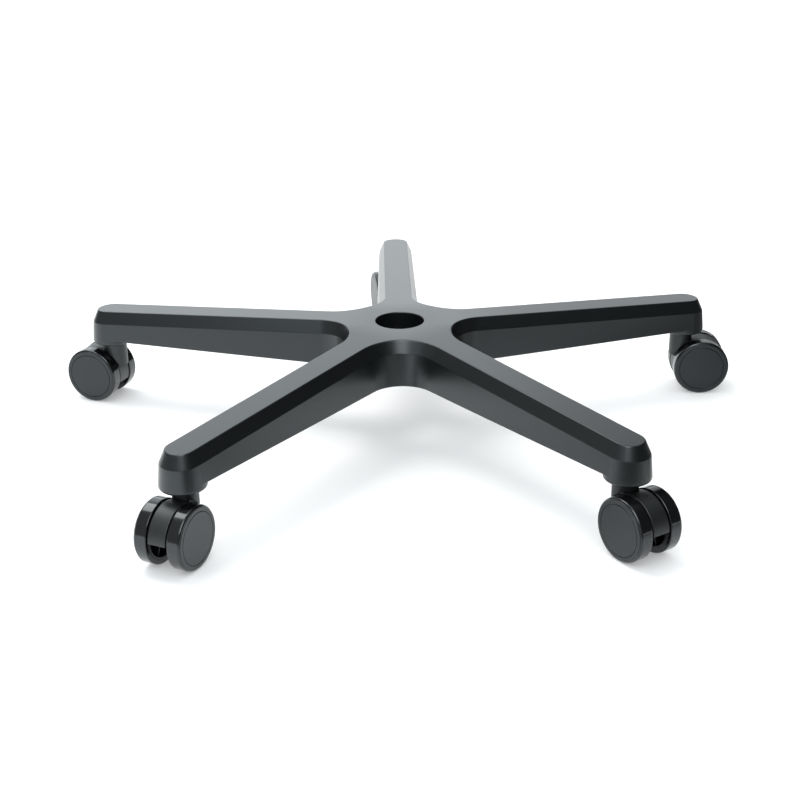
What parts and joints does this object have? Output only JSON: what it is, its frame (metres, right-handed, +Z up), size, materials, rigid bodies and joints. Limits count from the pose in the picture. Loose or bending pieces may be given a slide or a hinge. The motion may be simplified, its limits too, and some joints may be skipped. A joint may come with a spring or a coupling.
{
  "type": "office chair five star base",
  "caption": "Five-arm die-cast chair base in satin black with a tapered hub socket for a gas lift and swivelling twin-wheel castors.",
  "frame": {"origin": "centre of the gas lift bore at the flat top of the hub; the floor is 121 mm below it", "axes": "+Z up along the gas lift bore; +Y towards the arm at the back of the picture; +X to its right"},
  "size_m": [0.7348, 0.7066, 0.121],
  "materials": {
    "coated_aluminium": "satin black powder coat on die-cast aluminium",
    "plated_steel": "zinc plated, turned",
    "spring_steel": "blackened spring steel",
    "housing_nylon": "moulded nylon with a fine matt grain",
    "wheel_nylon": "moulded nylon, matt",
    "cap_nylon": "moulded nylon with a fine matt grain",
    "tread_polyurethane": "smooth glossy polyurethane"
  },
  "bodies": {
    "base": {"star_base": "coated_aluminium", "back_stem": "plated_steel", "back_grip_ring": "spring_steel", "back_stem_clip": "spring_steel", "left_stem": "plated_steel", "left_grip_ring": "spring_steel", "left_stem_clip": "spring_steel", "front_left_stem": "plated_steel", "front_left_grip_ring": "spring_steel", "front_left_stem_clip": "spring_steel", "front_right_stem": "plated_steel", "front_right_grip_ring": "spring_steel", "front_right_stem_clip": "spring_steel", "right_stem": "plated_steel", "right_grip_ring": "spring_steel", "right_stem_clip": "spring_steel"},
    "back_castor": {"back_housing": "housing_nylon", "back_axle": "plated_steel"},
    "back_left_wheel": {"back_left_wheel_core": "wheel_nylon", "back_left_wheel_tread": "tread_polyurethane", "back_left_wheel_cap": "cap_nylon"},
    "back_right_wheel": {"back_right_wheel_core": "wheel_nylon", "back_right_wheel_tread": "tread_polyurethane", "back_right_wheel_cap": "cap_nylon"},
    "left_castor": {"left_housing": "housing_nylon", "left_axle": "plated_steel"},
    "left_left_wheel": {"left_left_wheel_core": "wheel_nylon", "left_left_wheel_tread": "tread_polyurethane", "left_left_wheel_cap": "cap_nylon"},
    "left_right_wheel": {"left_right_wheel_core": "wheel_nylon", "left_right_wheel_tread": "tread_polyurethane", "left_right_wheel_cap": "cap_nylon"},
    "front_left_castor": {"front_left_housing": "housing_nylon", "front_left_axle": "plated_steel"},
    "front_left_left_wheel": {"front_left_left_wheel_core": "wheel_nylon", "front_left_left_wheel_tread": "tread_polyurethane", "front_left_left_wheel_cap": "cap_nylon"},
    "front_left_right_wheel": {"front_left_right_wheel_core": "wheel_nylon", "front_left_right_wheel_tread": "tread_polyurethane", "front_left_right_wheel_cap": "cap_nylon"},
    "front_right_castor": {"front_right_housing": "housing_nylon", "front_right_axle": "plated_steel"},
    "front_right_left_wheel": {"front_right_left_wheel_core": "wheel_nylon", "front_right_left_wheel_tread": "tread_polyurethane", "front_right_left_wheel_cap": "cap_nylon"},
    "front_right_right_wheel": {"front_right_right_wheel_core": "wheel_nylon", "front_right_right_wheel_tread": "tread_polyurethane", "front_right_right_wheel_cap": "cap_nylon"},
    "right_castor": {"right_housing": "housing_nylon", "right_axle": "plated_steel"},
    "right_left_wheel": {"right_left_wheel_core": "wheel_nylon", "right_left_wheel_tread": "tread_polyurethane", "right_left_wheel_cap": "cap_nylon"},
    "right_right_wheel": {"right_right_wheel_core": "wheel_nylon", "right_right_wheel_tread": "tread_polyurethane", "right_right_wheel_cap": "cap_nylon"}
  },
  "joints": [
    {"name": "back_swivel", "type": "hinge", "parent": "base", "child": "back_castor", "pos_m": [0, 0.33, -0.0537], "axis": [0, 0, 1], "continuous": true},
    {"name": "back_left_roll", "type": "hinge", "parent": "back_castor", "child": "back_left_wheel", "pos_m": [-0.00365, 0.35068, -0.091], "axis": [-0.9848, -0.1736, 0], "continuous": true},
    {"name": "back_right_roll", "type": "hinge", "parent": "back_castor", "child": "back_right_wheel", "pos_m": [-0.00365, 0.35068, -0.091], "axis": [-0.9848, -0.1736, 0], "continuous": true},
    {"name": "left_swivel", "type": "hinge", "parent": "base", "child": "left_castor", "pos_m": [-0.31385, 0.10198, -0.0537], "axis": [0, 0, 1], "continuous": true},
    {"name": "left_left_roll", "type": "hinge", "parent": "left_castor", "child": "left_left_wheel", "pos_m": [-0.33329, 0.10991, -0.091], "axis": [-0.3778, -0.9259, 0], "continuous": true},
    {"name": "left_right_roll", "type": "hinge", "parent": "left_castor", "child": "left_right_wheel", "pos_m": [-0.33329, 0.10991, -0.091], "axis": [-0.3778, -0.9259, 0], "continuous": true},
    {"name": "front_left_swivel", "type": "hinge", "parent": "base", "child": "front_left_castor", "pos_m": [-0.19397, -0.26698, -0.0537], "axis": [0, 0, 1], "continuous": true},
    {"name": "front_left_left_roll", "type": "hinge", "parent": "front_left_castor", "child": "front_left_left_wheel", "pos_m": [-0.20317, -0.28585, -0.091], "axis": [0.8988, -0.4384, 0], "continuous": true},
    {"name": "front_left_right_roll", "type": "hinge", "parent": "front_left_castor", "child": "front_left_right_wheel", "pos_m": [-0.20317, -0.28585, -0.091], "axis": [0.8988, -0.4384, 0], "continuous": true},
    {"name": "front_right_swivel", "type": "hinge", "parent": "base", "child": "front_right_castor", "pos_m": [0.19397, -0.26698, -0.0537], "axis": [0, 0, 1], "continuous": true},
    {"name": "front_right_left_roll", "type": "hinge", "parent": "front_right_castor", "child": "front_right_left_wheel", "pos_m": [0.20497, -0.28486, -0.091], "axis": [0.8517, 0.524, 0], "continuous": true},
    {"name": "front_right_right_roll", "type": "hinge", "parent": "front_right_castor", "child": "front_right_right_wheel", "pos_m": [0.20497, -0.28486, -0.091], "axis": [0.8517, 0.524, 0], "continuous": true},
    {"name": "right_swivel", "type": "hinge", "parent": "base", "child": "right_castor", "pos_m": [0.31385, 0.10198, -0.0537], "axis": [0, 0, 1], "continuous": true},
    {"name": "right_left_roll", "type": "hinge", "parent": "right_castor", "child": "right_left_wheel", "pos_m": [0.33484, 0.10146, -0.091], "axis": [0.0244, 0.9997, 0], "continuous": true},
    {"name": "right_right_roll", "type": "hinge", "parent": "right_castor", "child": "right_right_wheel", "pos_m": [0.33484, 0.10146, -0.091], "axis": [0.0244, 0.9997, 0], "continuous": true}
  ]
}
